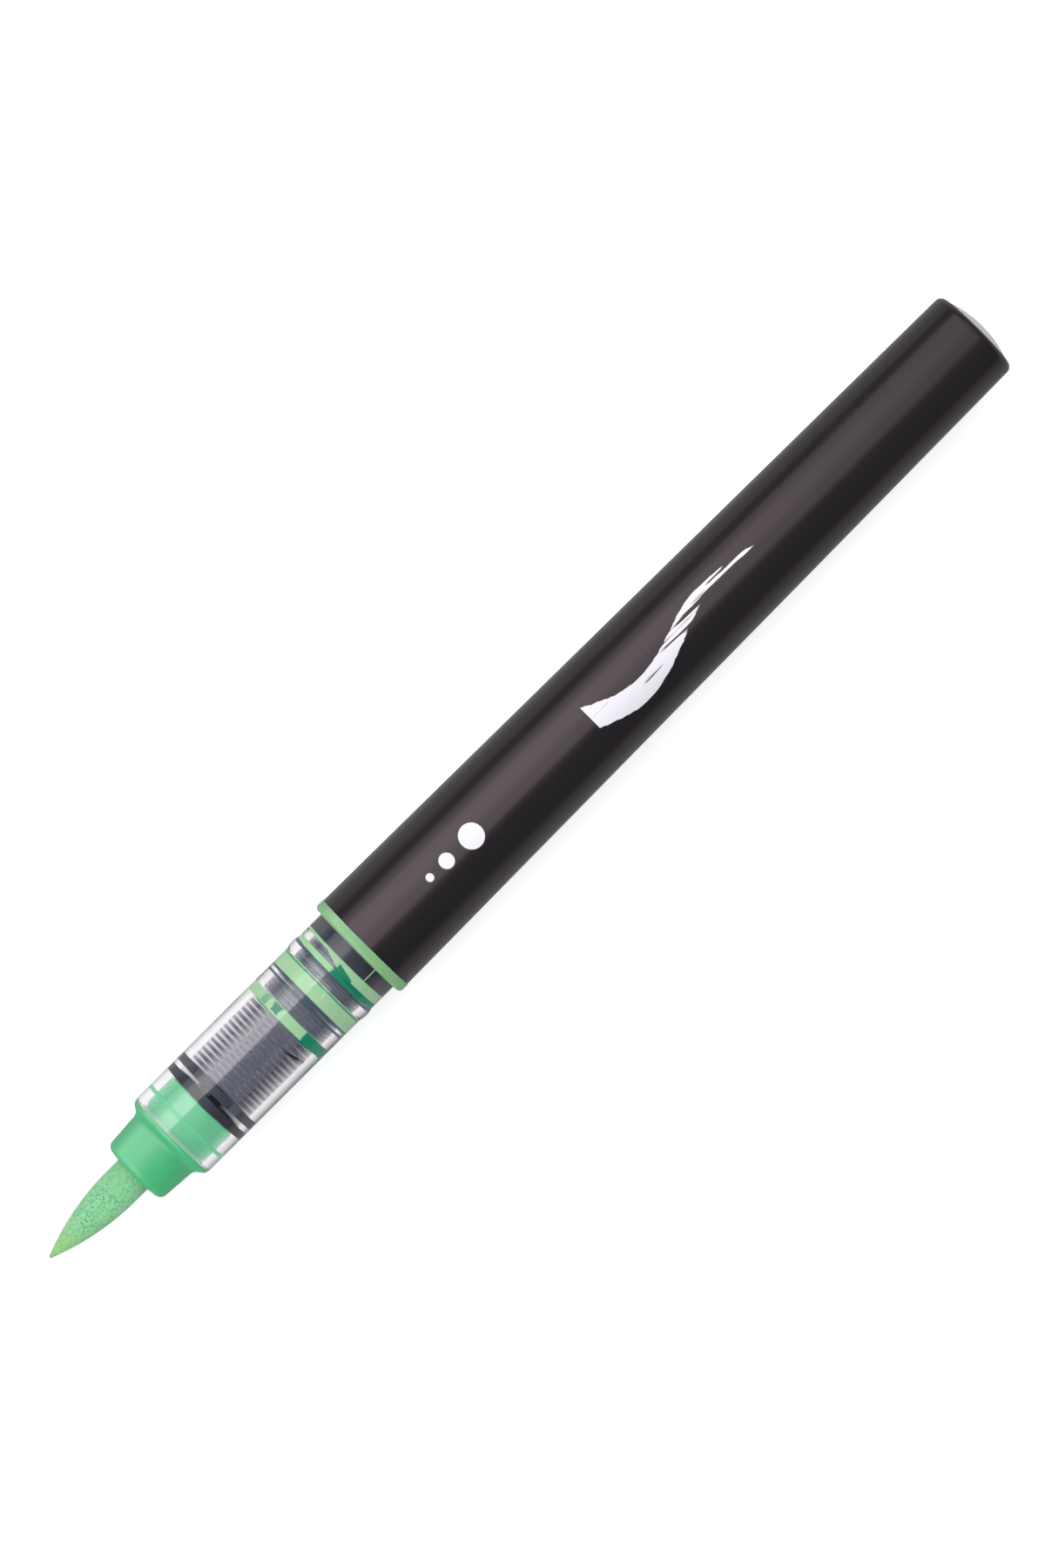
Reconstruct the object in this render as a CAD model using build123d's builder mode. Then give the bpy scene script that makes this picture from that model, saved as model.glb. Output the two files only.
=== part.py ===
"""Free-ink brush pen with a clear grip, a finned ink collector and a flexible felt brush.

Millimetres. The pen lies on its side along X with the brush at +X, and its fattest
place, the colour ring, touches Z = 0. Stations are distances from the brush's point
back along the pen, and every turned profile is drawn as (station, radius).
"""

import os

from build123d import *

# ---- overall -------------------------------------------------------------------
total_length = 140.0

# ---- felt brush ----------------------------------------------------------------
nib_reach = 12.45  # felt that stands out of the holder
nib_radius = 2.22
nib_point_radius = 0.16
nib_shoulder = 1.85  # full-width felt between the holder's mouth and the taper
nib_gripped_length = 6.6
flex_gap = 0.1  # around the round heel that the point bends on

# ---- nib holder ----------------------------------------------------------------
nose_length = 4.75
nose_front_radius = 4.00
nose_rear_radius = 4.32
nose_lean = 0.2  # how far the front face leans back at its rim
nose_round = 0.8
cone_length = 0.75  # from the nose up to the flange
cone_fillet = 0.9
flange_length = 0.5
flange_step = 0.04  # the flange stands this much inside the clear section's surface
flange_round = 0.7
neck_length = 1.1
neck_depth = 0.34
plug_length = 3.4
plug_relief = 0.1  # radial room between plug and clear section
rib_setback = 0.75  # sealing rib, behind the neck
rib_length = 0.45

# ---- seal ring between holder and collector --------------------------------------
seal_length = 1.07
seal_setback = 0.13

# ---- clear section -------------------------------------------------------------
section_radius = 5.44
section_wall = 1.0
section_insert = 10.0  # length hidden inside the barrel
mouth_chamfer = 0.12
edge_break = 0.1
bead_height = 0.15
bead_width = 1.7
bead_to_ring = 4.2  # from the cap bead's middle to the colour ring

# ---- ink collector ---------------------------------------------------------------
core_radius = 1.95
seal_gap_length = 0.52
vent_disc_length = 0.98
fin_thickness = 0.33
fin_gap = 0.337
fin_count = 14
close_fin_gap = 0.17
front_groove = 1.82  # wide grooves that fill with ink
middle_groove = 2.0
rear_groove = 0.75
collar_groove = 0.36
thin_disc_length = 0.28
disc_gap = 0.34
collar_length = 3.2
collar_in_view = 1.78  # ahead of the colour ring
front_spigot_length = 3.4
rear_spigot_length = 3.0
fin_to_bore = 0.06
slit_width = 0.18
slit_angle = 54.0  # above +Y
vent_width = 1.3
vent_depth = 0.9

# ---- feed wick -----------------------------------------------------------------
wick_radius = 1.0
wick_socket_depth = 2.0
wick_dip = 12.0  # length that stands out of the collector into the ink

# ---- colour ring, barrel and tail plug -----------------------------------------
ring_length = 1.22
ring_wall = 0.94  # outside the clear section
ring_round = 0.5
mouth_wall = 0.87  # outside the clear section
tail_radius = 5.39
barrel_wall = 0.95
tail_round = 0.8
plug_dome = 0.8
plug_skirt = 6.0
plug_wall = 0.8
plug_crown = 1.1
plug_rib_count = 2
plug_rib_length = 0.8
plug_rib_pitch = 2.0

# ---- ink -----------------------------------------------------------------------
ink_level = 2.0  # free surface above the pen's axis
ink_gap = 0.02

# ---- fits ----------------------------------------------------------------------
press_bite = 0.02  # radial interference of sealing rings
slip_gap = 0.02  # radial clearance of parts that only locate

# ---- stations and radii that follow --------------------------------------------
ring_radius = section_radius + ring_wall
mouth_radius = section_radius + mouth_wall
axis_height = max(ring_radius, mouth_radius)
section_bore = section_radius - section_wall
seal_radius = section_bore + press_bite
fin_radius = section_bore - fin_to_bore
plug_radius = section_bore - plug_relief
neck_radius = plug_radius - neck_depth
flange_radius = section_radius - flange_step
flex_station = nib_reach - nib_shoulder
nib_end = nib_reach + nib_gripped_length
nose_end = nib_reach + nose_length
flange_start = nose_end + cone_length
section_start = flange_start + flange_length
neck_end = section_start + neck_length
rib_start = neck_end + rib_setback
rib_end = rib_start + rib_length
holder_end = neck_end + plug_length
seal_start = holder_end + seal_setback
collector_start = seal_start + seal_length


def fins(count, gap):
    """Collector steps for a run of fins, each after its own gap."""
    return [(gap, core_radius), (fin_thickness, fin_radius)] * count


# the collector's outline, from front to back, as runs of (length, radius)
fin = (fin_thickness, fin_radius)
close_gap = (close_fin_gap, core_radius)
thin_disc = (thin_disc_length, seal_radius)
front_part = [
    (seal_gap_length, core_radius),
    (vent_disc_length, seal_radius),
    *fins(fin_count, fin_gap),
]
middle_part = [
    (front_groove, core_radius),
    fin,
    *fins(2, close_fin_gap),
    close_gap,
    thin_disc,
    (disc_gap, core_radius),
    thin_disc,
]
rear_part = [
    (middle_groove, core_radius),
    fin,
    *fins(1, close_fin_gap),
    close_gap,
    thin_disc,
]
collar_part = [
    (rear_groove, core_radius),
    fin,
    *fins(1, close_fin_gap),
    (collar_groove, core_radius),
]
collar = (collar_length, seal_radius)


def run_length(steps):
    """Length of a run of collector steps."""
    return sum(length for length, radius in steps)


front_groove_start = collector_start + run_length(front_part)
middle_groove_start = front_groove_start + run_length(middle_part)
rear_groove_start = middle_groove_start + run_length(rear_part)
collar_start = rear_groove_start + run_length(collar_part)
collar_groove_start = collar_start - collar_groove
collector_end = collar_start + collar_length
ring_start = collar_start + collar_in_view
barrel_start = ring_start + ring_length
section_end = barrel_start + section_insert
barrel_end = total_length - plug_dome
barrel_taper = (mouth_radius - tail_radius) / (barrel_end - barrel_start)
bead_middle = ring_start - bead_to_ring
plug_start = barrel_end - plug_skirt
tail_bore = tail_radius - barrel_wall
wick_start = nib_end - wick_socket_depth
wick_end = collector_end + rear_spigot_length + wick_dip


def barrel_bore(station):
    """Radius of the barrel's tapered bore."""
    return mouth_radius - barrel_taper * (station - barrel_start) - barrel_wall


def world_x(station):
    """Frame X of a station."""
    return total_length / 2 - station


profile_plane = Plane(origin=(world_x(0), 0, axis_height), x_dir=(-1, 0, 0), z_dir=(0, 1, 0))
pen_axis = Axis((world_x(0), 0, axis_height), (-1, 0, 0))


def cross_plane(station):
    """Plane across the pen that faces the brush, with frame Y and Z as its own axes."""
    return Plane(origin=(world_x(station), 0, axis_height), x_dir=(0, 1, 0), z_dir=(1, 0, 0))


def corner(sketch, station, radius):
    """The profile's corner nearest to a place."""
    return sketch.vertices().sort_by_distance((station, radius))[0]


os.makedirs("parts", exist_ok=True)

# ---- brush nib: the felt point, with a round heel to bend on ---------------------
with BuildPart() as brush_nib:
    with BuildSketch(profile_plane):
        with BuildLine():
            Line((0, 0), (0, nib_point_radius))
            TangentArc((flex_station, nib_radius), (0, nib_point_radius), tangent=(-1, 0))
            TangentArc((flex_station, nib_radius), (flex_station + nib_radius, 0), tangent=(1, 0))
            Line((flex_station + nib_radius, 0), (0, 0))
        make_face()
    revolve(axis=pen_axis)
brush_nib.part.label = "brush_nib"
export_step(brush_nib.part, "parts/brush_nib.step")

# ---- nib root: the same felt where the holder grips it ---------------------------
with BuildPart() as nib_root:
    with BuildSketch(cross_plane(flex_station)):
        Circle(nib_radius)
    extrude(amount=-(nib_end - flex_station))
    with BuildSketch(cross_plane(nib_end)):
        Circle(wick_radius + slip_gap)
    extrude(amount=wick_socket_depth, mode=Mode.SUBTRACT)
    with Locations(cross_plane(flex_station)):
        Sphere(nib_radius + flex_gap, mode=Mode.SUBTRACT)
nib_root.part.label = "nib_root"
export_step(nib_root.part, "parts/nib_root.step")

# ---- nib holder: coloured nose, flange and plug in one moulding ------------------
with BuildPart() as nib_holder:
    with BuildSketch(profile_plane) as holder_profile:
        with BuildLine():
            Polyline(
                (nib_reach, 0),
                (nib_reach + nose_lean, nose_front_radius),
                (nose_end, nose_rear_radius),
                (flange_start, flange_radius),
                (section_start, flange_radius),
                (section_start, neck_radius),
                (neck_end, plug_radius),
                (rib_start, plug_radius),
                (rib_start, seal_radius),
                (rib_end, seal_radius),
                (rib_end, plug_radius),
                (holder_end, plug_radius),
                (holder_end, 0),
                close=True,
            )
        make_face()
        fillet(corner(holder_profile, nib_reach + nose_lean, nose_front_radius), radius=nose_round)
        fillet(corner(holder_profile, nose_end, nose_rear_radius), radius=cone_fillet)
        fillet(corner(holder_profile, flange_start, flange_radius), radius=flange_round)
    revolve(axis=pen_axis)
    with BuildSketch(cross_plane(0)):
        Circle(nib_radius + slip_gap)
    extrude(amount=-(nib_end + slip_gap), mode=Mode.SUBTRACT)
    with BuildSketch(cross_plane(holder_end)):
        Circle(core_radius + slip_gap)
    extrude(amount=holder_end - nib_end, mode=Mode.SUBTRACT)
nib_holder.part.label = "nib_holder"
export_step(nib_holder.part, "parts/nib_holder.step")

# ---- seal ring: soft ring on the collector's front spigot ------------------------
with BuildPart() as seal_ring:
    with BuildSketch(cross_plane(seal_start)):
        Circle(seal_radius)
        Circle(core_radius + slip_gap, mode=Mode.SUBTRACT)
    extrude(amount=-seal_length)
seal_ring.part.label = "seal_ring"
export_step(seal_ring.part, "parts/seal_ring.step")

# ---- clear section: the grip tube, with a bead that the cap snaps over -----------
with BuildPart() as clear_section:
    with BuildSketch(profile_plane) as section_profile:
        with BuildLine():
            Polyline(
                (section_start, section_bore),
                (section_start, section_radius),
                (bead_middle - bead_width / 2, section_radius),
            )
            ThreePointArc(
                (bead_middle - bead_width / 2, section_radius),
                (bead_middle, section_radius + bead_height),
                (bead_middle + bead_width / 2, section_radius),
            )
            Polyline(
                (bead_middle + bead_width / 2, section_radius),
                (section_end, section_radius),
                (section_end, section_bore),
                (section_start, section_bore),
            )
        make_face()
        chamfer(corner(section_profile, section_start, section_bore), length=mouth_chamfer)
        chamfer(corner(section_profile, section_start, section_radius), length=edge_break)
    revolve(axis=pen_axis)
clear_section.part.label = "clear_section"
export_step(clear_section.part, "parts/clear_section.step")

# ---- ink collector: a stack of fins that holds spare ink by capillary action -----
collector_front = collector_start - front_spigot_length
collector_back = collector_end + rear_spigot_length
with BuildPart() as ink_collector:
    with BuildSketch(profile_plane):
        with Locations((collector_front, 0)):
            Rectangle(
                collector_back - collector_front, core_radius, align=(Align.MIN, Align.MIN)
            )
        step_start = collector_start
        for length, radius in [*front_part, *middle_part, *rear_part, *collar_part, collar]:
            if radius > core_radius:
                with Locations((step_start, 0)):
                    Rectangle(length, radius, align=(Align.MIN, Align.MIN))
            step_start += length
    revolve(axis=pen_axis)
    with BuildSketch(cross_plane(collector_back)):
        Circle(wick_radius + slip_gap)
    extrude(amount=collector_back - collector_front, mode=Mode.SUBTRACT)
    with BuildSketch(cross_plane(collector_end)):
        with PolarLocations(wick_radius + seal_radius / 2, 1, start_angle=slit_angle):
            Rectangle(seal_radius, slit_width)
    extrude(amount=collector_end - collector_start, mode=Mode.SUBTRACT)
    with BuildSketch(cross_plane(collector_start + seal_gap_length + vent_disc_length)):
        with PolarLocations(seal_radius, 1, start_angle=slit_angle):
            Rectangle(2 * vent_depth, vent_width)
    extrude(amount=vent_disc_length, mode=Mode.SUBTRACT)
ink_collector.part.label = "ink_collector"
export_step(ink_collector.part, "parts/ink_collector.step")

# ---- feed wick: bonded fibre rod from the ink to the back of the brush -----------
with BuildPart() as feed_wick:
    with BuildSketch(cross_plane(wick_start)):
        Circle(wick_radius)
    extrude(amount=-(wick_end - wick_start))
feed_wick.part.label = "feed_wick"
export_step(feed_wick.part, "parts/feed_wick.step")

# ---- ink rings: spare ink standing in the collector's wide grooves ---------------
ink_grooves = {
    "ink_ring_front": (front_groove_start, front_groove),
    "ink_ring_middle": (middle_groove_start, middle_groove),
    "ink_ring_rear": (rear_groove_start, rear_groove),
    "ink_ring_collar": (collar_groove_start, collar_groove),
}
for ring_name, (groove_start, groove_length) in ink_grooves.items():
    with BuildPart() as ink_ring:
        with BuildSketch(cross_plane(groove_start + ink_gap)):
            Circle(section_bore)
            Circle(core_radius + ink_gap, mode=Mode.SUBTRACT)
        extrude(amount=-(groove_length - 2 * ink_gap))
    ink_ring.part.label = ring_name
    export_step(ink_ring.part, f"parts/{ring_name}.step")

# ---- colour ring: shows the ink's colour at the barrel's mouth -------------------
with BuildPart() as colour_ring:
    with BuildSketch(profile_plane) as ring_profile:
        with Locations((ring_start, section_radius)):
            Rectangle(ring_length, ring_radius - section_radius, align=(Align.MIN, Align.MIN))
        fillet(corner(ring_profile, ring_start, ring_radius), radius=ring_round)
    revolve(axis=pen_axis)
colour_ring.part.label = "colour_ring"
export_step(colour_ring.part, "parts/colour_ring.step")

# ---- barrel: tapered tube that is also the ink tank ------------------------------
with BuildPart() as barrel:
    with BuildSketch(profile_plane) as barrel_profile:
        with BuildLine():
            Polyline(
                (barrel_start, section_radius),
                (barrel_start, mouth_radius),
                (barrel_end, tail_radius),
                (barrel_end, tail_bore),
                (plug_start, tail_bore),
                (plug_start, barrel_bore(plug_start)),
                (section_end, barrel_bore(section_end)),
                (section_end, section_radius),
                close=True,
            )
        make_face()
        fillet(
            corner(barrel_profile, barrel_end, tail_radius),
            radius=min(tail_round, barrel_wall - edge_break),
        )
        chamfer(corner(barrel_profile, barrel_start, mouth_radius), length=edge_break)
    revolve(axis=pen_axis)
barrel.part.label = "barrel"
export_step(barrel.part, "parts/barrel.step")

# ---- tail plug: domed stopper pressed into the barrel after filling --------------
with BuildPart() as tail_plug:
    with BuildSketch(profile_plane):
        with BuildLine():
            TangentArc(
                (total_length, 0), (barrel_end, tail_bore - slip_gap), tangent=(0, 1)
            )
            Polyline(
                (barrel_end, tail_bore - slip_gap),
                (plug_start, tail_bore - slip_gap),
                (plug_start, tail_bore - plug_wall),
                (barrel_end - plug_crown, tail_bore - plug_wall),
                (barrel_end - plug_crown, 0),
                (total_length, 0),
            )
        make_face()
        for rib in range(1, plug_rib_count + 1):
            with Locations((barrel_end - rib * plug_rib_pitch, tail_bore - plug_wall)):
                Rectangle(plug_rib_length, plug_wall + press_bite, align=(Align.CENTER, Align.MIN))
    revolve(axis=pen_axis)
tail_plug.part.label = "tail_plug"
export_step(tail_plug.part, "parts/tail_plug.step")

# ---- ink charge: free ink in the barrel, level as the pen lies -------------------
with BuildPart() as ink_charge:
    with BuildSketch(profile_plane):
        with BuildLine():
            Polyline(
                (collector_end + ink_gap, 0),
                (collector_end + ink_gap, section_bore - ink_gap),
                (section_end + ink_gap, section_bore - ink_gap),
                (section_end + ink_gap, barrel_bore(section_end) - ink_gap),
                (plug_start - ink_gap, barrel_bore(plug_start) - ink_gap),
                (plug_start - ink_gap, 0),
                close=True,
            )
        make_face()
    revolve(axis=pen_axis)
    with BuildSketch(cross_plane(wick_end + ink_gap)):
        Circle(wick_radius + ink_gap)
    extrude(amount=wick_end - collector_end, mode=Mode.SUBTRACT)
    with BuildSketch(cross_plane(collector_back + ink_gap)):
        Circle(core_radius + ink_gap)
    extrude(amount=rear_spigot_length, mode=Mode.SUBTRACT)
    split(bisect_by=Plane.XY.offset(axis_height + ink_level), keep=Keep.BOTTOM)
ink_charge.part.label = "ink_charge"
export_step(ink_charge.part, "parts/ink_charge.step")

for name, station in (
    ("bending centre", flex_station),
    ("clear section's mouth", section_start),
    ("cap bead", bead_middle),
    ("colour ring", ring_start),
    ("barrel's mouth", barrel_start),
):
    print(f"{name}: x = {world_x(station):.3f} mm, axis height {axis_height:.3f} mm")
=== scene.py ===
from math import acos, ceil, cos, pi, radians, sin, sqrt, tan

import bmesh
import bpy
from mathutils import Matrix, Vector


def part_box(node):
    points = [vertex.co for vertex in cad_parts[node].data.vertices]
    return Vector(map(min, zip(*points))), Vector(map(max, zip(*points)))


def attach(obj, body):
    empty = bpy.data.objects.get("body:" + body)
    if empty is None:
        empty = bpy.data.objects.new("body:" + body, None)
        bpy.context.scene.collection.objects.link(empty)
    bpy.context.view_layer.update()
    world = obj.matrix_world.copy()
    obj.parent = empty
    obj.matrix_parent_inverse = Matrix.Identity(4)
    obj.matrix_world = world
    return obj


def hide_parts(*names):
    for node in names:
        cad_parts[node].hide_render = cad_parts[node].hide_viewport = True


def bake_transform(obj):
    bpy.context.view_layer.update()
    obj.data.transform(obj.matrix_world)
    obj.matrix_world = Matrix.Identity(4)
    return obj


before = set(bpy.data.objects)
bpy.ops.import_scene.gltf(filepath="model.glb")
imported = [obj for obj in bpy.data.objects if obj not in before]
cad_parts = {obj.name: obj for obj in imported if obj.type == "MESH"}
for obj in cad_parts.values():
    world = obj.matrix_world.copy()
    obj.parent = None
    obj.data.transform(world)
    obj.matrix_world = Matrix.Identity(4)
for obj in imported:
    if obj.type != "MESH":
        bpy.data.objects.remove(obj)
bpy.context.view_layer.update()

# ---- Feed wick -------------------------------------------------------------------
# A rod of bonded polyester fibre that draws ink from the barrel through the collector
# to the back of the brush. It is a push fit in both and hidden by them.

# The pen lies along X with its brush at +X. Places along it are stations: millimetres
# back from the brush's point.
mm = 0.001
point_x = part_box("brush_nib")[1].x
axis_z = (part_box("colour_ring")[0].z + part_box("colour_ring")[1].z) / 2


def feed(socket, term):
    """Puts a value or a link into a node's input."""
    if isinstance(term, Value):
        socket.id_data.links.new(term.socket, socket)
    else:
        socket.default_value = term


class Value:
    """A shader value. Arithmetic on it adds the Math nodes."""

    def __init__(self, socket):
        self.socket = socket

    def combined(self, operation, first, second):
        maths = self.socket.id_data.nodes.new("ShaderNodeMath")
        maths.operation = operation
        feed(maths.inputs[0], first)
        feed(maths.inputs[1], second)
        return Value(maths.outputs[0])

    def __add__(self, other):
        return self.combined("ADD", self, other)

    def __radd__(self, other):
        return self.combined("ADD", other, self)

    def __sub__(self, other):
        return self.combined("SUBTRACT", self, other)

    def __rsub__(self, other):
        return self.combined("SUBTRACT", other, self)

    def __mul__(self, other):
        return self.combined("MULTIPLY", self, other)

    def __rmul__(self, other):
        return self.combined("MULTIPLY", other, self)

    def __truediv__(self, other):
        return self.combined("DIVIDE", self, other)


class Nodes:
    """A node tree that values are made in."""

    def __init__(self, tree):
        self.tree = tree

    def node(self, kind, settings=None, inputs=None, output=0):
        """Adds a node with its settings and inputs, and gives one of its outputs."""
        made = self.tree.nodes.new("ShaderNode" + kind)
        for words, amount in (settings or {}).items():
            setattr(made, words, amount)
        for place, term in (inputs or {}).items():
            feed(made.inputs[place], term)
        return Value(made.outputs[output])

    def mix(self, mask, first, second):
        """The first colour where the mask is 0 and the second where it is 1."""
        return self.node("Mix", {"data_type": "RGBA"}, {0: mask, 6: first, 7: second}, 2)


class Finish(Nodes):
    """A surface: one material with its Principled shader, built up from nodes."""

    def __init__(self, name, **uniform):
        self.material = bpy.data.materials.new(name)
        self.material.use_nodes = True
        super().__init__(self.material.node_tree)
        self.shader = self.tree.nodes["Principled BSDF"]
        for words, amount in uniform.items():
            self.set(words.replace("_", " "), amount)
        self.where = self.node("TexCoord", output="Object")

    def set(self, words, amount):
        """Gives one of the shader's inputs a value or a link."""
        names = {socket.name.lower(): socket for socket in self.shader.inputs}
        feed(names[words], amount)

    def part(self, axis):
        """One coordinate of the surface's place in the pen's frame, in metres."""
        return self.node("SeparateXYZ", inputs={0: self.where}, output=axis)

    def along(self):
        """The surface's station."""
        return (point_x - self.part("X")) / mm

    def around(self):
        """The angle round the pen's axis in radians: 0 on top, positive towards +Y."""
        angle = {"operation": "ARCTAN2"}
        return self.node("Math", angle, {0: self.part("Y"), 1: self.part("Z") - axis_z})

    def length(self, first, second):
        """How far a point is from the origin of a plane."""
        point = self.node("CombineXYZ", inputs={0: first, 1: second})
        return self.node("VectorMath", {"operation": "LENGTH"}, {0: point}, "Value")

    def size_of(self, amount):
        """The amount without its sign."""
        return self.node("Math", {"operation": "ABSOLUTE"}, {0: amount})

    def noise(self, size, stretch=(1, 1, 1), detail=3):
        """Cloudy variation with features of about that size in millimetres."""
        squeeze = [1 / part for part in stretch]
        scaled = self.node("Mapping", inputs={"Vector": self.where, "Scale": squeeze})
        grain = {"Vector": scaled, "Scale": 1 / (size * mm), "Detail": detail}
        return self.node("TexNoise", inputs=grain, output="Fac")

    def ramp(self, amount, low, high):
        """0 below low, 1 above high and smooth between."""
        smooth = {"interpolation_type": "SMOOTHSTEP"}
        return self.node("MapRange", smooth, {"Value": amount, "From Min": low, "From Max": high})

    def within(self, amount, low, high, soft):
        """1 between low and high, fading to 0 beyond them."""
        above = self.ramp(amount, low - soft, low + soft)
        return above * (1 - self.ramp(amount, high - soft, high + soft))

    def bump(self, height, depth):
        """Relief of that depth in millimetres."""
        relief = {"Height": height, "Distance": depth * mm, "Strength": 1.0}
        self.set("normal", self.node("Bump", inputs=relief, output="Normal"))


def dress(piece, finish):
    """Gives a piece, or a CAD node, its finish."""
    piece.data.materials.clear()
    piece.data.materials.append(finish.material)


strand_size, strand_relief = 0.08, 0.05
between_strands = (0.10, 0.34, 0.12, 1)
wet_strand = (0.22, 0.55, 0.24, 1)
wick_fibre = Finish("wick_fibre", roughness=0.9, sheen_weight=0.3)
strands = wick_fibre.noise(strand_size, stretch=(12, 1, 1))
wick_fibre.set("base color", wick_fibre.mix(strands, between_strands, wet_strand))
wick_fibre.bump(strands, strand_relief)
dress(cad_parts["feed_wick"], wick_fibre)

# ---- Ink collector ---------------------------------------------------------------
# One moulding of slate plastic: thin fins on a core, with wide grooves that hold ink,
# sealing discs, and a collar that is pressed into the clear section's back.


def span(node):
    """Stations of a node's front and back."""
    low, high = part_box(node)
    return (point_x - high.x) / mm, (point_x - low.x) / mm


def reach(node):
    """A turned node's largest radius."""
    low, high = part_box(node)
    return (high.y - low.y) / 2 / mm


def rounded(corners, closed):
    """The points of an outline of (station, radius, rounding), with arcs for roundings.
    A point just outside each arc keeps the flat beside it flat when it is shaded."""
    arc_step = radians(9)
    guard = 1.12
    points = []
    for index, (station, radius, rounding) in enumerate(corners):
        here = Vector((station, radius))
        at_end = index in (0, len(corners) - 1)
        if rounding == 0 or (at_end and not closed):
            points.append(here)
            continue
        before = (Vector(corners[index - 1][:2]) - here).normalized()
        after = (Vector(corners[(index + 1) % len(corners)][:2]) - here).normalized()
        opening = acos(max(-1.0, min(1.0, before.dot(after))))
        tangent = rounding / tan(opening / 2)
        centre = here + (before + after).normalized() * rounding / sin(opening / 2)
        first = here + before * tangent - centre
        last = here + after * tangent - centre
        sweep = abs(first.angle_signed(last))
        steps = max(3, ceil(sweep / arc_step))
        points.append(here + before * tangent * guard)
        for step in range(steps + 1):
            share = step / steps
            turned_to = first * sin((1 - share) * sweep) + last * sin(share * sweep)
            points.append(centre + turned_to / sin(sweep))
        points.append(here + after * tangent * guard)
    return points


def mesh_object(name, shape):
    """A scene object from a bmesh, smooth over its round faces and crisp at its edges."""
    bmesh.ops.recalc_face_normals(shape, faces=shape.faces)
    mesh = bpy.data.meshes.new(name)
    shape.to_mesh(mesh)
    shape.free()
    mesh.shade_smooth()
    mesh.set_sharp_from_angle(angle=radians(35))
    made = bpy.data.objects.new(name, mesh)
    bpy.context.scene.collection.objects.link(made)
    return made


def on_pen(station, radius, turn):
    """A place in metres, from its station, its radius and its angle round the axis."""
    return point_x - station * mm, radius * mm * sin(turn), axis_z + radius * mm * cos(turn)


def turned(name, corners, closed=True, sides=192, turns=(), shaped=None):
    """A piece turned about the pen's axis. An open outline starts and ends on the axis.
    turns adds lengthwise edges at those angles, and shaped moves each point."""
    shape = bmesh.new()
    angles = sorted([2 * pi * side / sides - pi for side in range(sides)] + list(turns))
    rings = []
    for station, radius in rounded(corners, closed):
        ring = []
        for angle in angles if radius > 0 else angles[:1]:
            back, out = shaped(station, radius, angle) if shaped else (station, radius)
            ring.append(shape.verts.new(on_pen(back, out, angle)))
        rings.append(ring)
    following = rings[1:] + rings[:1] if closed else rings[1:]
    for near, far in zip(rings, following):
        for side in range(len(angles)):
            after = (side + 1) % len(angles)
            if len(near) == 1:
                shape.faces.new((near[0], far[side], far[after]))
            elif len(far) == 1:
                shape.faces.new((near[side], near[after], far[0]))
            else:
                shape.faces.new((near[side], near[after], far[after], far[side]))
    return mesh_object(name, shape)


collector_front, collector_back = span("ink_collector")
seal_radius = reach("ink_collector")
core_radius = 1.95
fin_radius = seal_radius - 0.08
spigot_round = 0.2
fin_edge = 0.03
front_spigot, back_spigot = 3.4, 3.0
fin, fin_gap, close_gap = 0.33, 0.337, 0.17
fin_count, close_fins = 14, 2
seal_gap, vent_disc = 0.52, 0.98
disc, disc_gap = 0.28, 0.34
front_groove, middle_groove, rear_groove, collar_groove = 1.82, 2.0, 0.75, 0.36
collar = 3.2
close_fin = [(close_gap, core_radius), (fin, fin_radius)]
sealing_disc = (disc, seal_radius)
collector_runs = [
    (seal_gap, core_radius),
    (vent_disc, seal_radius),
    *[(fin_gap, core_radius), (fin, fin_radius)] * fin_count,
    (front_groove, core_radius),
    (fin, fin_radius),
    *close_fin * close_fins,
    (close_gap, core_radius),
    sealing_disc,
    (disc_gap, core_radius),
    sealing_disc,
    (middle_groove, core_radius),
    (fin, fin_radius),
    *close_fin,
    (close_gap, core_radius),
    sealing_disc,
    (rear_groove, core_radius),
    (fin, fin_radius),
    *close_fin,
    (collar_groove, core_radius),
    (collar, seal_radius),
]
fins_front = collector_front + front_spigot
collar_back = collector_back - back_spigot
collector_outline = [(collector_front, 0, 0), (collector_front, core_radius, spigot_round)]
station = fins_front
for length, radius in collector_runs:
    if radius > core_radius:
        collector_outline += [
            (station, core_radius, 0),
            (station, radius, fin_edge),
            (station + length, radius, fin_edge),
            (station + length, core_radius, 0),
        ]
    station += length
collector_outline += [(collector_back, core_radius, spigot_round), (collector_back, 0, 0)]

slit_turn = radians(36)
slit_half = 0.09 / seal_radius
slit_floor = 1.0
vent_half = 0.65 / seal_radius
vent_floor = seal_radius - 0.9
vent_disc_front = fins_front + seal_gap
vent_disc_back = vent_disc_front + vent_disc
brink = 0.0006  # radians to each side of a cut's wall


def slit_and_vent(station, radius, angle):
    """Sinks the outline into the lengthwise slit, and into the first disc's vent notch."""
    off = abs(angle - slit_turn)
    if off < slit_half and fins_front < station < collar_back:
        return station, min(radius, slit_floor)
    if off < vent_half and vent_disc_front <= station <= vent_disc_back:
        return station, min(radius, vent_floor)
    return station, radius


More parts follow.
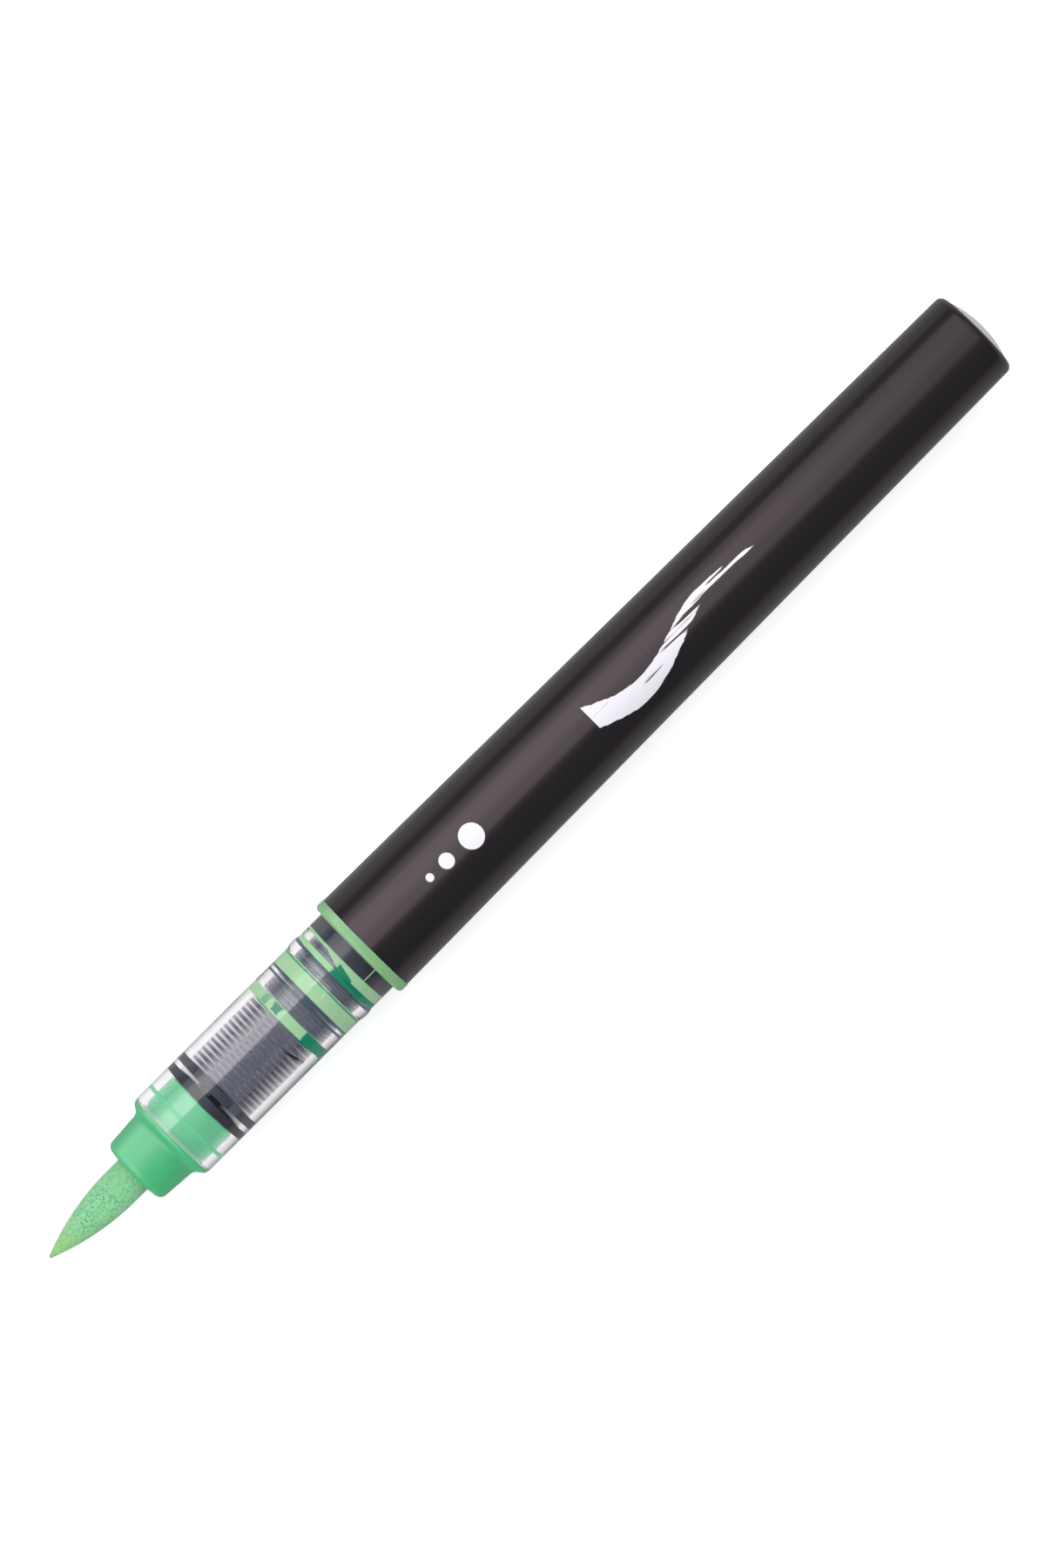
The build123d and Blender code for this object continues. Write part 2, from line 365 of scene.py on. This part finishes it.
collector_moulding = turned(
    "collector_moulding",
    collector_outline,
    closed=False,
    turns=[
        slit_turn + side * half + shift
        for side in (-1, 1)
        for half in (slit_half, vent_half)
        for shift in (-brink, brink)
    ],
    shaped=slit_and_vent,
)
slate_plastic = Finish(
    "slate_plastic", roughness=0.2, specular_ior_level=0.5, emission_strength=1.0
)
slate_along = slate_plastic.along()
slate_out = slate_plastic.length(slate_plastic.part("Y"), slate_plastic.part("Z") - axis_z) / mm
cloud = slate_plastic.noise(0.9)
solid_slate = slate_plastic.mix(cloud, (0.060, 0.068, 0.095, 1), (0.082, 0.088, 0.120, 1))
# Painted light: the fins' rims are a paler copy of the slate, and the core between the fins is paler
# still. This stands in for light that comes through the tube, where shade falls between the fins.
fin_painted_light = slate_plastic.mix(cloud, (0.140, 0.145, 0.185, 1), (0.165, 0.170, 0.205, 1))
core_painted_light = slate_plastic.mix(cloud, (0.30, 0.31, 0.37, 1), (0.36, 0.37, 0.42, 1))
finned = slate_plastic.within(slate_along, vent_disc_back + 0.1, collar_back - collar, 0.02)
between_fins = 1 - slate_plastic.ramp(slate_out, core_radius + 0.2, fin_radius - 0.2)
fins_painted_light = slate_plastic.mix(between_fins, fin_painted_light, core_painted_light)
slate = slate_plastic.mix(finned, solid_slate, fins_painted_light)
# The sealing discs before and behind the middle groove are stained with ink.
stained = slate_plastic.ramp(slate_along, 38.20, 38.22)
stained = stained * (1 - slate_plastic.ramp(slate_along, 39.21, 39.25))
stained_behind = slate_plastic.ramp(slate_along, 42.15, 42.20)
stained_behind = stained_behind * (1 - slate_plastic.ramp(slate_along, 42.48, 42.50))
stain = (stained + stained_behind) * 0.85
slate_plastic.set("base color", slate_plastic.mix(stain, slate, (0.012, 0.075, 0.085, 1)))
# Painted glow: emission on the fins, the core between them and the notch's thin floor stands in for
# light that has come through the tube.
fin_painted_glow = slate_plastic.mix(between_fins, (0.030, 0.036, 0.052, 1), (0.070, 0.074, 0.092, 1))
slate_painted_glow = slate_plastic.mix(finned, (0, 0, 0, 1), fin_painted_glow)
off_slit = slate_plastic.size_of(slate_plastic.around() - slit_turn)
notch = 1 - slate_plastic.ramp(off_slit, vent_half, vent_half + 0.002)
notch_fade = 0.005
notch_front, notch_back = vent_disc_front - notch_fade, vent_disc_back + notch_fade
notch = notch * slate_plastic.within(slate_along, notch_front, notch_back, notch_fade)
slate_painted_glow = slate_plastic.mix(notch, slate_painted_glow, (0.065, 0.072, 0.085, 1))
slate_plastic.set("emission color", slate_painted_glow)
slate_plastic.set("roughness", 0.16 + 0.16 * slate_plastic.noise(0.25))
slate_plastic.bump(slate_plastic.noise(0.12), 0.002)
dress(collector_moulding, slate_plastic)
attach(collector_moulding, "pen")
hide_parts("ink_collector")

# ---- Seal ring -------------------------------------------------------------------
# A soft black ring on the collector's front spigot. It is squeezed against the clear
# section's bore, and ink wets the contact, so it reads as a solid black band.
seal_front, seal_back = span("seal_ring")
seal_round = 0.12
room = 0.02  # between a piece and the core that it sits on
seal_band = turned(
    "seal_band",
    [
        (seal_front, core_radius + room, 0),
        (seal_front, seal_radius, seal_round),
        (seal_back, seal_radius, seal_round),
        (seal_back, core_radius + room, 0),
    ],
)
black, worn_black = (0.034, 0.042, 0.056, 1), (0.048, 0.051, 0.066, 1)
seal_rubber = Finish("seal_rubber", roughness=0.45)
seal_rubber.set("base color", seal_rubber.mix(seal_rubber.noise(0.4), black, worn_black))
seal_rubber.bump(seal_rubber.noise(0.06), 0.004)
dress(seal_band, seal_rubber)
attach(seal_band, "pen")
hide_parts("seal_ring")

# ---- Ink -------------------------------------------------------------------------
# Green ink stands in the collector's wide grooves and wets the bore all round, so the
# clear section shows each groove as a full-width band. A film of it has crept from the
# last groove over the fins on one side. Its dark teal is partly deep ink and partly
# painted shade on the +Y side, and its emission is a painted glow.
bore = seal_radius - 0.02
wetted = bore + 0.01
ink = Finish("ink", roughness=0.3, specular_ior_level=0.1, emission_strength=1.0)
ink_turn = ink.around()
ink_along = ink.along()
swirl = ink.noise(0.8, detail=4)
wobble = (swirl - 0.5) * 0.35
# Each dark patch lies between two stations and between two angles in radians. The +Y side of the
# front band, the seam line and the band behind the disc are painted shade.
front_band_shade = ink.within(ink_along, 34.0, 37.0, 0.05) * ink.ramp(ink_turn + wobble * 0.4, 0.50, 0.56)
clot_along = ink.within(ink_along + wobble * 0.6, 35.45, 36.45, 0.06)
clot = clot_along * ink.within(ink_turn + wobble * 0.6, -0.50, -0.24, 0.03)
skin_along = ink.within(ink_along + wobble, 35.3, 36.7, 0.2)
skin = skin_along * ink.within(ink_turn + wobble, -0.86, -0.62, 0.05)
edging = ink.within(ink_along + wobble * 0.5, 40.88, 41.1, 0.05)
behind_disc = ink.within(ink_along, 42.2, 43.3, 0.05) * ink.ramp(ink_turn + wobble, -0.2, 0.0)
window_along = ink.within(ink_along + ink_turn, 43.35, 43.95, 0.05)
window = window_along * ink.within(ink_turn, -0.05, 0.42, 0.03)
# Deep ink and painted shade together make the dark teal.
deep_ink_and_shade = front_band_shade + clot + skin * 0.45 + edging * 0.75 + behind_disc + window * 0.9
deep_ink_and_shade = ink.ramp(deep_ink_and_shade, 0.0, 1.0)
pale_ink = ink.mix(swirl, (0.37, 0.70, 0.36, 1), (0.47, 0.78, 0.46, 1))
ink.set("base color", ink.mix(deep_ink_and_shade, pale_ink, (0.010, 0.21, 0.125, 1)))
# Painted glow: the ink's emission stands in for light that reaches it through the tube, and it is
# dimmer where the ink is dark.
ink.set("emission color", ink.mix(deep_ink_and_shade, (0.10, 0.16, 0.105, 1), (0.004, 0.10, 0.055, 1)))
for band, inset in (("front", 0.28), ("middle", 0.0), ("rear", 0.0)):
    front, back = span("ink_ring_" + band)
    front, back = front + inset, back - inset
    hollow = min(0.12, (back - front) / 4)
    halfway = (core_radius + bore) / 2
    ink_band = turned(
        "ink_band_" + band,
        [
            (front, core_radius + room, 0),
            (front + hollow, halfway, 0),
            (front + hollow, bore - hollow, 0),
            (front, wetted, 0),
            (back, wetted, 0),
            (back - hollow, bore - hollow, 0),
            (back - hollow, halfway, 0),
            (back, core_radius + room, 0),
        ],
    )
    dress(ink_band, ink)
    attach(ink_band, "pen")
    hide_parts("ink_ring_" + band)
dress(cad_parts["ink_charge"], ink)

film_front, film_back = span("ink_ring_collar")
film_reach = 1.25
film_inside = fin_radius + 0.005
creep_start, creep_rise = radians(-28), radians(48)
creep_end, creep_fall = radians(172), radians(30)


def creep(station, radius, angle):
    """Draws the film's front edge forward on the side where the ink has crept."""
    if station > film_front - film_reach / 2:
        return station, radius
    rise = min(1.0, max(0.0, (angle - creep_start) / creep_rise))
    fall = min(1.0, max(0.0, (creep_end - angle) / creep_fall))
    return film_front - film_reach * rise * fall - 0.01, radius


ink_film = turned(
    "ink_film",
    [
        (film_front, core_radius + room, 0),
        (film_front, film_inside, 0),
        (film_front - film_reach, film_inside, 0),
        (film_front - film_reach, wetted, 0),
        (film_back, wetted, 0),
        (film_back, core_radius + room, 0),
    ],
    shaped=creep,
)
dress(ink_film, ink)
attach(ink_film, "pen")
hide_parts("ink_ring_collar")


def streak(name, sections, finish):
    """A thin closed film on the bore, through (turn in degrees, front, back) sections."""
    shape = bmesh.new()
    inside = wetted - 0.04
    loops = []
    for turn, front, back in sections:
        section = ((front, inside), (front, wetted), (back, wetted), (back, inside))
        loops.append([shape.verts.new(on_pen(*corner, radians(turn))) for corner in section])
    for near, far in zip(loops, loops[1:]):
        for corner in range(4):
            after = (corner + 1) % 4
            shape.faces.new((near[corner], near[after], far[after], far[corner]))
    shape.faces.new(loops[0])
    shape.faces.new(reversed(loops[-1]))
    piece = mesh_object(name, shape)
    dress(piece, finish)
    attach(piece, "pen")


# Painted shade: thin dark films stand in for the dark lines at the ink's edges, at its meniscus and
# at its seam.
ink_edge_shade = Finish("ink_edge_shade", roughness=0.3, specular_ior_level=0.1)
dark_cloud = ink_edge_shade.noise(0.5)
ink_edge_shade.set("base color", ink_edge_shade.mix(dark_cloud, (0.012, 0.022, 0.040, 1), (0.02, 0.05, 0.06, 1)))
meniscus = [(24, 33.26, 33.32), (30, 33.28, 33.46), (38, 33.36, 33.66), (48, 33.50, 33.86)]
streak("ink_meniscus", meniscus + [(62, 33.62, 33.98), (88, 33.80, 33.92)], ink_edge_shade)
seam = [(-74, 40.98, 41.06), (-20, 40.94, 41.03), (10, 40.90, 41.02), (60, 40.96, 41.04)]
streak("ink_seam", seam + [(88, 41.0, 41.05)], ink_edge_shade)
streak("slit_film", [(35.2, 44.5, 47.5), (36.9, 44.5, 47.5)], ink)

# ---- Nib holder ------------------------------------------------------------------
# A translucent green moulding: the nose that grips the brush, a flange that stops it
# against the clear section, and a plug with a sealing rib pushed into the bore.
holder_front, holder_back = span("nib_holder")
section_start, section_end = span("clear_section")
flange_radius = reach("nib_holder")
nib_bore, bore_flare = 2.24, 0.12
nose_front, nose_rear, nose_lean, nose_round = 4.00, 4.32, 0.2, 0.8
nose_end = holder_front + 4.75
flange_start = nose_end + 0.75
flange_back = section_start + 0.01
cone_fillet, flange_round, flange_edge = 0.9, 0.7, 0.06
plug_radius = bore - 0.1
neck_end, neck_depth, neck_round = section_start + 1.1, 0.34, 0.3
plug_edge = 0.1
rib_start = neck_end + 0.75
rib_end = rib_start + 0.45
rib_edge = 0.05
holder_moulding = turned(
    "holder_moulding",
    [
        (holder_front + bore_flare, nib_bore, 0),
        (holder_front, nib_bore + bore_flare, 0),
        (holder_front + nose_lean, nose_front, nose_round),
        (nose_end, nose_rear, cone_fillet),
        (flange_start, flange_radius, flange_round),
        (flange_back, flange_radius, flange_edge),
        (flange_back, plug_radius - neck_depth, plug_edge),
        (neck_end, plug_radius, neck_round),
        (rib_start, plug_radius, rib_edge),
        (rib_start, seal_radius, rib_edge),
        (rib_end, seal_radius, rib_edge),
        (rib_end, plug_radius, rib_edge),
        (holder_back, plug_radius, plug_edge),
        (holder_back, nib_bore, 0),
    ],
)
green_plastic = Finish(
    "green_plastic",
    roughness=0.5,
    specular_ior_level=0.9,
    emission_strength=1.0,
    subsurface_weight=0.6,
    subsurface_radius=(0.6, 1.0, 0.7),
    subsurface_scale=1.2 * mm,
)
nose_cloud, plug_cloud = green_plastic.noise(2.5), green_plastic.noise(1.2)
nose_green = green_plastic.mix(nose_cloud, (0.026, 0.315, 0.122, 1), (0.038, 0.36, 0.145, 1))
# Painted light: inside the tube the plug is a paler copy of the green, and it glows. This stands in
# for light that comes through the tube.
plug_painted_light = green_plastic.mix(plug_cloud, (0.13, 0.36, 0.20, 1), (0.16, 0.41, 0.24, 1))
holder_along = green_plastic.along()
inside_tube = green_plastic.ramp(holder_along, section_start + 0.05, section_start + 0.6)
ribbed = green_plastic.within(holder_along, rib_start, rib_end, 0.02)
plug_painted_light = green_plastic.mix(ribbed * 0.3, plug_painted_light, nose_green)
# Painted light: the plug's first half millimetre is paler and glows. This stands in for light from
# the tube's mouth.
lip = green_plastic.ramp(holder_along, section_start - 0.02, section_start)
lip = lip * (1 - green_plastic.ramp(holder_along, section_start + 0.3, section_start + 0.5))
holder_green = green_plastic.mix(inside_tube, nose_green, plug_painted_light)
green_plastic.set("base color", green_plastic.mix(lip, holder_green, (0.36, 0.50, 0.42, 1)))
holder_painted_glow = green_plastic.mix(inside_tube, (0, 0, 0, 1), (0.07, 0.36, 0.19, 1))
green_plastic.set("emission color", green_plastic.mix(lip, holder_painted_glow, (0.16, 0.30, 0.22, 1)))
green_plastic.set("roughness", 0.44 + 0.12 * green_plastic.noise(0.5))
green_plastic.bump(green_plastic.noise(0.2), 0.003)
dress(holder_moulding, green_plastic)
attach(holder_moulding, "pen")
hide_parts("nib_holder")

# ---- Felt brush ------------------------------------------------------------------
# One piece of sintered felt, ground to a long curved point and soaked with ink. It
# bends where it leaves the holder; the bend's two ends, at the holder's front and near the point,
# are worked out here.
root_back = span("nib_root")[1]
nib_radius = reach("nib_root")
shoulder = holder_front - 1.85
blunt = 0.16
tip_front, tip_station, tip_radius = 0.03, 0.10, 0.10
ogive = (shoulder**2 + (nib_radius - blunt) ** 2) / (2 * (nib_radius - blunt))
taper_steps, shaft_steps = 90, 40
brush_outline = [(0, 0, 0), (tip_front, tip_radius, 0)]
for step in range(taper_steps + 1):
    back = shoulder * step / taper_steps
    drop = ogive - sqrt(ogive**2 - (shoulder - back) ** 2)
    behind_tip = tip_station + back * (1 - tip_station / shoulder)
    brush_outline.append((behind_tip, nib_radius - drop, 0))
for step in range(1, shaft_steps + 1):
    back = shoulder + (root_back - shoulder) * step / shaft_steps
    brush_outline.append((back, nib_radius, 0))
brush_outline.append((root_back, 0, 0))
felt_brush = turned("felt_brush", brush_outline, closed=False, sides=128)
felt = Finish(
    "felt",
    roughness=0.85,
    sheen_weight=0.15,
    sheen_roughness=0.5,
    subsurface_weight=0.25,
    subsurface_radius=(0.5, 1.0, 0.5),
    subsurface_scale=0.4 * mm,
)
felt_along = felt.along()
fibres = felt.ramp(felt.noise(0.26, stretch=(1.5, 1, 1), detail=5), 0.34, 0.66)
weave = felt.noise(0.12, detail=2)
pore_spacing = {"Vector": felt.where, "Scale": 1 / (0.28 * mm)}
from_pore = felt.node("TexVoronoi", {"feature": "F1"}, pore_spacing, "Distance")
pore_field = felt.ramp(felt.noise(1.2, detail=2), 0.36, 0.56)
mid_length = felt.ramp(felt_along, 3.2, 5.0) * (1 - felt.ramp(felt_along, 9.0, 11.0))
pitted = (1 - felt.ramp(from_pore, 0.20, 0.38)) * (0.2 + 0.8 * pore_field * mid_length)
wet = felt.ramp(felt_along + felt.noise(1.2) * 3, 2.5, 8.0)
dark_felt = felt.mix(wet, (0.165, 0.365, 0.12, 1), (0.12, 0.39, 0.175, 1))
light_felt = felt.mix(wet, (0.25, 0.465, 0.20, 1), (0.25, 0.51, 0.28, 1))
tone = felt.mix(fibres * 0.75 + (weave - 0.5) * 0.5, dark_felt, light_felt)
tip_stain = (1 - felt.ramp(felt_along, 0.15, 0.75)) * 0.6
tone = felt.mix(tip_stain, tone, (0.16, 0.22, 0.14, 1))
felt.set("base color", felt.mix(pitted * 0.9, tone, (0.018, 0.15, 0.08, 1)))
felt.bump(fibres + weave * 0.6 - pitted, 0.045)
dress(felt_brush, felt)
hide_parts("nib_root", "brush_nib")
bend_start = on_pen(holder_front, 0, 0)
bend_end = on_pen(shoulder * 0.45, 0, 0)
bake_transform(felt_brush)

# ---- Clear section ---------------------------------------------------------------
# The grip tube, moulded in clear styrene. The holder is pushed into its mouth, the
# collector into its bore, and the cap clicks over the low bead near its back.
section_radius = 5.44
mouth_edge, mouth_round, tube_edge = 0.03, 0.12, 0.1
ring_front, ring_back = span("colour_ring")
bead_middle = ring_front - 4.2
bead_width = 1.7
bead_height = reach("clear_section") - section_radius
bead_curve = ((bead_width / 2) ** 2 + bead_height**2) / (2 * bead_height)
bead_steps = 14
tube_outline = [
    (section_start, bore, mouth_edge),
    (section_start, section_radius, mouth_round),
]
for step in range(bead_steps + 1):
    off = bead_width * (step / bead_steps - 0.5)
    rise = sqrt(bead_curve**2 - off**2) - bead_curve + bead_height
    tube_outline.append((bead_middle + off, section_radius + rise, 0))
tube_outline += [(section_end, section_radius, tube_edge), (section_end, bore, tube_edge)]
grip_tube = turned("grip_tube", tube_outline, sides=256)
clear_plastic = Finish(
    "clear_plastic", base_color=(0.955, 0.93, 0.942, 1), ior=1.49, transmission_weight=1.0
)
clear_plastic.set("roughness", 0.015 + 0.02 * clear_plastic.noise(0.8))
dress(grip_tube, clear_plastic)
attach(grip_tube, "pen")
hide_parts("clear_section")

# ---- Colour ring -----------------------------------------------------------------
# A sage-green ring, moulded in translucent plastic, that closes the barrel's mouth and
# shows the ink's colour when the cap is on.
ring_radius = reach("colour_ring")
ring_foot, ring_shoulder, ring_edge = 0.05, 0.5, 0.04
ring_moulding = turned(
    "ring_moulding",
    [
        (ring_front, section_radius, ring_foot),
        (ring_front, ring_radius, ring_shoulder),
        (ring_back, ring_radius, ring_edge),
        (ring_back, section_radius, 0),
    ],
)
sage_plastic = Finish(
    "sage_plastic",
    roughness=0.5,
    specular_ior_level=0.8,
    subsurface_weight=0.5,
    subsurface_radius=(0.6, 1.0, 0.6),
    subsurface_scale=0.8 * mm,
)
deep_sage, light_sage = (0.13, 0.29, 0.125, 1), (0.17, 0.34, 0.16, 1)
sage_plastic.set("base color", sage_plastic.mix(sage_plastic.noise(1.5), deep_sage, light_sage))
sage_plastic.bump(sage_plastic.noise(0.2), 0.003)
dress(ring_moulding, sage_plastic)
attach(ring_moulding, "pen")
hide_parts("colour_ring")

# ---- Barrel ----------------------------------------------------------------------
# A long tapered tube of satin black polypropylene that is grip and ink tank in one.
# The clear section is pushed into its mouth; its tail is rounded over.
barrel_front, barrel_back = span("barrel")
mouth_radius = reach("barrel")
mouth_wall = 1.05
tail_radius = 5.39
tail_bore = tail_radius - 0.95
tail_seat = 6.0
barrel_edge, tail_round, tail_lip = 0.09, 0.8, 0.05
barrel_shell = turned(
    "barrel_shell",
    [
        (barrel_front, section_radius, 0),
        (barrel_front, mouth_radius, barrel_edge),
        (barrel_back, tail_radius, tail_round),
        (barrel_back, tail_bore, tail_lip),
        (barrel_back - tail_seat, tail_bore, 0),
        (section_end, mouth_radius - mouth_wall, 0),
        (section_end, section_radius, 0),
    ],
    sides=256,
)
black_plastic = Finish("black_plastic", specular_tint=(1.0, 0.80, 0.84, 1))
haze = black_plastic.noise(6.0)
resin = black_plastic.mix(haze, (0.0095, 0.0090, 0.0102, 1), (0.0125, 0.0110, 0.0125, 1))
# The printed mark: three dots of growing size, and a stroke of a brush that runs dry.
white_print = (0.58, 0.57, 0.61, 1)
print_radius = 5.9
print_edge = 0.04
print_along = black_plastic.along()
print_across = black_plastic.around() * print_radius
printed = 0
for dot_station, dot_radius in ((57.2, 0.45), (59.7, 0.85), (63.4, 1.4)):
    from_dot = black_plastic.length(print_along - dot_station, print_across)
    outside = black_plastic.ramp(from_dot, dot_radius - print_edge, dot_radius + print_edge)
    printed = printed + (1 - outside)
stroke_front, stroke_length, stroke_half, stroke_sway = 81.0, 26.0, 1.5, 2.2
travel = (print_along - stroke_front) / stroke_length
wave = black_plastic.node("Math", {"operation": "SINE"}, {0: travel * 6.0})
bend = wave * (stroke_sway - 1.2 * travel)
bristles = black_plastic.noise(0.35, stretch=(24, 1, 1), detail=2)
left = black_plastic.node("Math", {"operation": "MAXIMUM"}, {0: 1 - travel, 1: 0})
thinning = black_plastic.node("Math", {"operation": "POWER"}, {0: left, 1: 0.7})
past_edge = black_plastic.size_of(print_across - bend) - thinning * stroke_half
past_edge = past_edge + (bristles - 0.5) * 0.5
stroke = 1 - black_plastic.ramp(past_edge, -print_edge, print_edge)
stroke = stroke * black_plastic.ramp(travel, 0.0, 0.004)
stroke = stroke * (1 - black_plastic.ramp(bristles + travel * 0.35, 0.72, 0.78))
stroke = stroke * (1 - black_plastic.ramp(travel, 0.97, 1.0))
printed = black_plastic.ramp(printed + stroke, 0.0, 1.0)
black_plastic.set("base color", black_plastic.mix(printed, resin, white_print))
satin = black_plastic.noise(3.0, stretch=(4, 1, 1))
black_plastic.set("roughness", 0.22 + 0.04 * satin + 0.2 * printed)
black_plastic.bump(black_plastic.noise(0.16, detail=2), 0.0022)
dress(barrel_shell, black_plastic)
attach(barrel_shell, "pen")
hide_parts("barrel")

# ---- Tail plug -------------------------------------------------------------------
# A stopper with a low dome, pressed into the barrel's end after filling. It
# is hollow behind its crown, and its skirt fits the barrel's seat. Its pale grey is a
# painted highlight, standing in for the light that its domed end catches.
plug_front, plug_back = span("tail_plug")
dome = plug_back - barrel_back
stopper_radius = tail_bore - 0.02
dome_curve = (stopper_radius**2 + dome**2) / (2 * dome)
dome_steps = 24
stopper_wall = 0.8
crown = barrel_back - 1.1
stopper_edge, crown_round = 0.1, 0.3
plug_outline = []
for step in range(dome_steps + 1):
    radius = stopper_radius * step / dome_steps
    plug_outline.append((plug_back - dome_curve + sqrt(dome_curve**2 - radius**2), radius, 0))
plug_outline += [
    (plug_front, stopper_radius, stopper_edge),
    (plug_front, stopper_radius - stopper_wall, stopper_edge),
    (crown, stopper_radius - stopper_wall, crown_round),
    (crown, 0, 0),
]
plug_moulding = turned("plug_moulding", plug_outline, closed=False)
# Painted highlight: the dome's pale grey stands in for the light that it catches.
grey_plastic = Finish("grey_plastic", roughness=0.5)
grey, light_grey = (0.46, 0.45, 0.46, 1), (0.58, 0.57, 0.58, 1)
grey_plastic.set("base color", grey_plastic.mix(grey_plastic.noise(1.5), grey, light_grey))
grey_plastic.bump(grey_plastic.noise(0.15), 0.004)
dress(plug_moulding, grey_plastic)
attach(plug_moulding, "pen")
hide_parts("tail_plug")

# ---- Studio ----------------------------------------------------------------------
# A white sweep under one long softbox that leans over the pen from one side, with two
# fill lights off the pen's ends and a dim room round it. A long lens looks straight down.
floor_half = 4.0
floor_shape = bmesh.new()
bmesh.ops.create_grid(floor_shape, x_segments=1, y_segments=1, size=floor_half)
floor = mesh_object("floor", floor_shape)
white_floor = Finish(
    "white_floor", roughness=0.9, specular_ior_level=0.1, emission_strength=1.0
)
# The floor changes with the kind of ray that sees it. The camera sees it glow as an even white
# backdrop. Reflections in the pen see a darker grey, which is a painted reflection. Views through
# the tube see a faint painted glow.
seen_directly = white_floor.node("LightPath", output="Is Camera Ray")
seen_through = white_floor.node("LightPath", output="Is Transmission Ray")
mirrored = white_floor.node("LightPath", output="Is Glossy Ray") * (1 - seen_through)
paper = white_floor.mix(white_floor.noise(40.0), (0.70, 0.70, 0.71, 1), (0.72, 0.72, 0.73, 1))
white_floor.set("base color", white_floor.mix(mirrored, paper, (0.40, 0.40, 0.41, 1)))
floor_glow = white_floor.mix(seen_through, (0, 0, 0, 1), (0.05, 0.05, 0.05, 1))
away = white_floor.node("VectorMath", {"operation": "LENGTH"}, {0: white_floor.where}, "Value")
away = white_floor.ramp(away, 0.4, 2.4)
backdrop_glow = white_floor.mix(away, (0.60, 0.60, 0.60, 1), (0.93, 0.93, 0.93, 1))
white_floor.set("emission color", white_floor.mix(seen_directly, floor_glow, backdrop_glow))
dress(floor, white_floor)


def softbox(name, centre, target, width, length, radiance):
    """An area light of that radiance at centre, facing target, long along X."""
    lamp = bpy.data.lights.new(name, "AREA")
    lamp.shape = "RECTANGLE"
    lamp.size, lamp.size_y = length, width
    lamp.energy = radiance * pi * width * length
    light = bpy.data.objects.new(name, lamp)
    light.location = centre
    light.rotation_euler = (Vector(centre) - Vector(target)).to_track_quat("Z", "Y").to_euler()
    light.visible_camera = False
    bpy.context.scene.collection.objects.link(light)
    return light


def leaning(name, first, last, front, back, radiance, distance=0.7):
    """A softbox that fills the angles first to last off the vertical, towards -Y."""
    middle, half = radians(first + last) / 2, radians(first - last) / 2
    width = 2 * distance * tan(abs(half))
    place = Vector(((front + back) / 2, -distance * sin(middle), distance * cos(middle)))
    return softbox(name, place, (place.x, 0, 0), width, front - back, radiance)


def light_only(name, pieces, lights):
    """Keeps those lights to those pieces."""
    lit = bpy.data.collections.new(name)
    for piece in pieces:
        lit.objects.link(piece)
    for light in lights:
        light.light_linking.receiver_collection = lit


# Each lamp has its two angles in degrees, its two ends along X in metres, and its
# radiance. The front lamps stop short, so that the barrel's glint dims near its tail.
far_end = 1.2
glint_end = -0.09
nearer = 0.69
leaning("main_softbox", 50, 12, far_end, -far_end, 0.75)
leaning("main_softbox_front", 50, 12, far_end, glint_end, 1.95, nearer)
leaning("main_softbox_edge", 66, 50, far_end, -0.5, 1.2)
barrel_strips = [
    leaning("barrel_strip", 12, -17, far_end, -far_end, 0.55),
    leaning("barrel_strip_front", 12, -17, far_end, glint_end, 1.35, nearer),
]
light_only("lit_by_strips", [barrel_shell], barrel_strips)
side_fill = leaning("side_fill", -25, -80, 0.8, -0.8, 1.1)
side_fill.visible_glossy = False
side_sheen = leaning("side_sheen", 94, 66, 0.8, -0.8, 4.4)
side_sheen.visible_diffuse = False
tinted_parts = [felt_brush, holder_moulding, ring_moulding]
light_only("lit_by_side_fill", tinted_parts, [side_fill, side_sheen])
for end, name in ((1, "brush_end_fill"), (-1, "tail_end_fill")):
    end_fill = softbox(name, (end * 0.75, 0, 0.7), (0, 0, 0), 1.0, 0.8, 2.6)
    end_fill.visible_glossy = end > 0

world = bpy.data.worlds.new("studio")
world.use_nodes = True
studio = Nodes(world.node_tree)
dim_room, pale_backdrop = (0.09, 0.09, 0.10, 1), (0.95, 0.95, 0.95, 1)
facing = studio.node("LightPath", output="Is Camera Ray")
shade = studio.mix(facing, dim_room, pale_backdrop)
feed(studio.tree.nodes["Background"].inputs["Color"], shade)
bpy.context.scene.world = world
bpy.context.scene.view_settings.view_transform = "Standard"

camera_station, camera_side = 71.09, -0.075
camera_height = 0.925  # metres above the pen's axis
camera_turn = 135.02  # degrees about the view
lens = bpy.data.cameras.new("camera")
lens.lens = 200
lens.clip_end = 20
camera = bpy.data.objects.new("camera", lens)
camera.location = (point_x - camera_station * mm, camera_side * mm, axis_z + camera_height)
camera.rotation_euler = (0, 0, radians(camera_turn))
bpy.context.scene.collection.objects.link(camera)
bpy.context.scene.camera = camera
